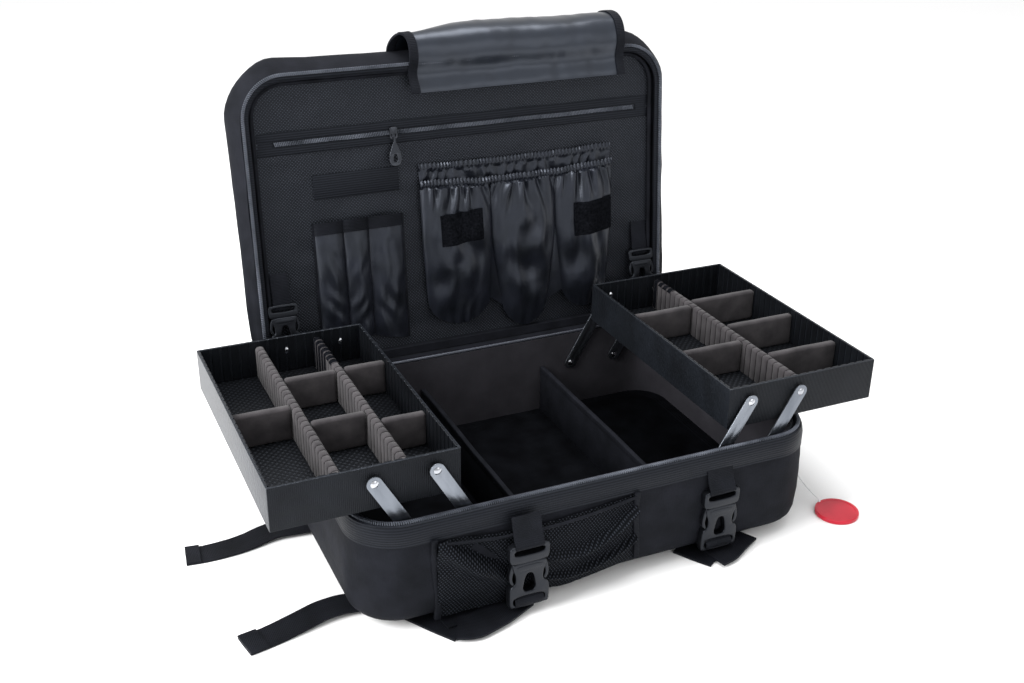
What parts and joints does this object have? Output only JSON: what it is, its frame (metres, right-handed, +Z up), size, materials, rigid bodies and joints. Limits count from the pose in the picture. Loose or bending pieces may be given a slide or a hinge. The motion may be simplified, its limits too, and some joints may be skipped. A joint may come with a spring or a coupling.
{
  "type": "stylist's tool case with swing-out trays",
  "caption": "Soft-sided stylist's tool case, lid open on its stays, with two divider trays swung out on flat parallel arms and pockets inside the lid.",
  "frame": {"origin": "centre of the padded back panel that the case stands on, at floor level", "axes": "+X to the right across the width seen from the front, -Y to the front, +Z up"},
  "size_m": [0.7083, 0.4675, 0.4859],
  "materials": {
    "nylon": "matt woven nylon",
    "lid_lining": "matt twill lining",
    "nap_lining": "short brushed nap",
    "divider_nap": "short brushed nap over foam",
    "webbing": "flat woven webbing",
    "mesh": "open knitted mesh",
    "taffeta": "shiny plain-woven taffeta",
    "hook_pile": "hook and loop tape",
    "zip_tape": "tight woven tape",
    "zip_coil": "satin",
    "vinyl": "soft gloss vinyl",
    "buckle_plastic": "fine satin",
    "tray_plastic": "embossed satin",
    "arm_metal": "brushed",
    "rivet_metal": "polished",
    "painted_zip": "gloss black",
    "tag_plastic": "gloss red",
    "string": "satin white"
  },
  "bodies": {
    "base": {"base_shell": "nylon", "base_liner": "nap_lining", "liner_binding": "nylon", "floor_pad": "nylon", "rim_tape": "zip_tape", "base_zip_coil": "zip_coil", "main_zip_sliders": "painted_zip", "floor_divider_left": "nylon", "floor_divider_right": "nylon", "base_pivots": "rivet_metal", "mesh_pocket": "mesh", "mesh_pocket_binding": "nylon", "front_webbing": "webbing", "front_buckle_prongs": "buckle_plastic", "front_buckle_sockets": "buckle_plastic", "under_webbing": "webbing", "back_pad": "nylon", "shoulder_strap_front": "webbing", "shoulder_strap_rear": "webbing", "strap_slides": "buckle_plastic", "strap_loops": "webbing", "strap_tail_front": "webbing", "strap_tail_rear": "webbing", "hang_tag": "tag_plastic", "tag_string": "string", "hinge_fabric": "nylon", "stay_roots": "webbing"},
    "lid": {"lid_shell": "nylon", "lid_liner": "lid_lining", "lid_zip_coil": "zip_coil", "stay_straps": "webbing", "stay_buckle_prongs": "buckle_plastic", "stay_buckle_sockets": "buckle_plastic", "pocket_zip_tape": "zip_tape", "pocket_zip_coil": "zip_coil", "loop_strip": "hook_pile", "pen_pocket": "taffeta", "gathered_pocket_back": "taffeta", "gathered_pocket_front": "taffeta", "hook_patches": "hook_pile"},
    "flap": {"vinyl_flap": "vinyl", "flap_binding": "nylon"},
    "zip_slider": {"pocket_zip_slider": "painted_zip"},
    "zip_puller": {"pocket_zip_puller": "painted_zip"},
    "arms_left_outer": {"arms_left_outer": "arm_metal"},
    "arms_left_inner": {"arms_left_inner": "arm_metal"},
    "arms_right_outer": {"arms_right_outer": "arm_metal"},
    "arms_right_inner": {"arms_right_inner": "arm_metal"},
    "tray_left": {"tray_left_shell": "tray_plastic", "tray_left_mat": "tray_plastic", "tray_left_long_dividers": "divider_nap", "tray_left_cross_dividers": "divider_nap", "tray_left_rivets": "rivet_metal"},
    "tray_right": {"tray_right_shell": "tray_plastic", "tray_right_mat": "tray_plastic", "tray_right_long_divider": "divider_nap", "tray_right_cross_dividers": "divider_nap", "tray_right_rivets": "rivet_metal"}
  },
  "joints": [
    {"name": "cantilever_left", "type": "hinge", "parent": "base", "child": "arms_left_outer", "pos_m": [-0.18275, 0, 0.07606], "axis": [0, 1, 0], "range_deg": [0, 101.5]},
    {"name": "follow_left_inner_arms", "type": "hinge", "parent": "base", "child": "arms_left_inner", "pos_m": [-0.12225, 0, 0.07606], "axis": [0, 1, 0], "range_deg": [0, 101.5]},
    {"name": "follow_left_tray", "type": "hinge", "parent": "arms_left_outer", "child": "tray_left", "pos_m": [-0.2315, 0, 0.1605], "axis": [0, 1, 0], "range_deg": [-101.5, 0]},
    {"name": "cantilever_right", "type": "hinge", "parent": "base", "child": "arms_right_outer", "pos_m": [0.18275, 0, 0.07606], "axis": [0, -1, 0], "range_deg": [0, 101.5]},
    {"name": "follow_right_inner_arms", "type": "hinge", "parent": "base", "child": "arms_right_inner", "pos_m": [0.12225, 0, 0.07606], "axis": [0, -1, 0], "range_deg": [0, 101.5]},
    {"name": "follow_right_tray", "type": "hinge", "parent": "arms_right_outer", "child": "tray_right", "pos_m": [0.2315, 0, 0.1605], "axis": [0, -1, 0], "range_deg": [-101.5, 0]},
    {"name": "lid_hinge", "type": "hinge", "parent": "base", "child": "lid", "pos_m": [0, 0.1675, 0.118], "axis": [1, 0, 0], "range_deg": [0, 10], "deforming": ["hinge_fabric", "stay_roots"]},
    {"name": "vinyl_flap_hinge", "type": "hinge", "parent": "lid", "child": "flap", "pos_m": [0, 0.24947, 0.44766], "axis": [-1, 0, 0], "range_deg": [0, 80]},
    {"name": "zip_slider_slide", "type": "slide", "parent": "lid", "child": "zip_slider", "axis": [1, 0, 0], "range_m": [-0.124, 0.296]},
    {"name": "zip_puller_hinge", "type": "hinge", "parent": "zip_slider", "child": "zip_puller", "pos_m": [-0.084, 0.19586, 0.37396], "axis": [-1, 0, 0], "range_deg": [0, 100]}
  ],
  "couplings": [
    {"joint": "follow_left_inner_arms", "follows": "cantilever_left", "ratio": 1},
    {"joint": "follow_left_tray", "follows": "cantilever_left", "ratio": -1},
    {"joint": "follow_right_inner_arms", "follows": "cantilever_right", "ratio": 1},
    {"joint": "follow_right_tray", "follows": "cantilever_right", "ratio": -1}
  ]
}
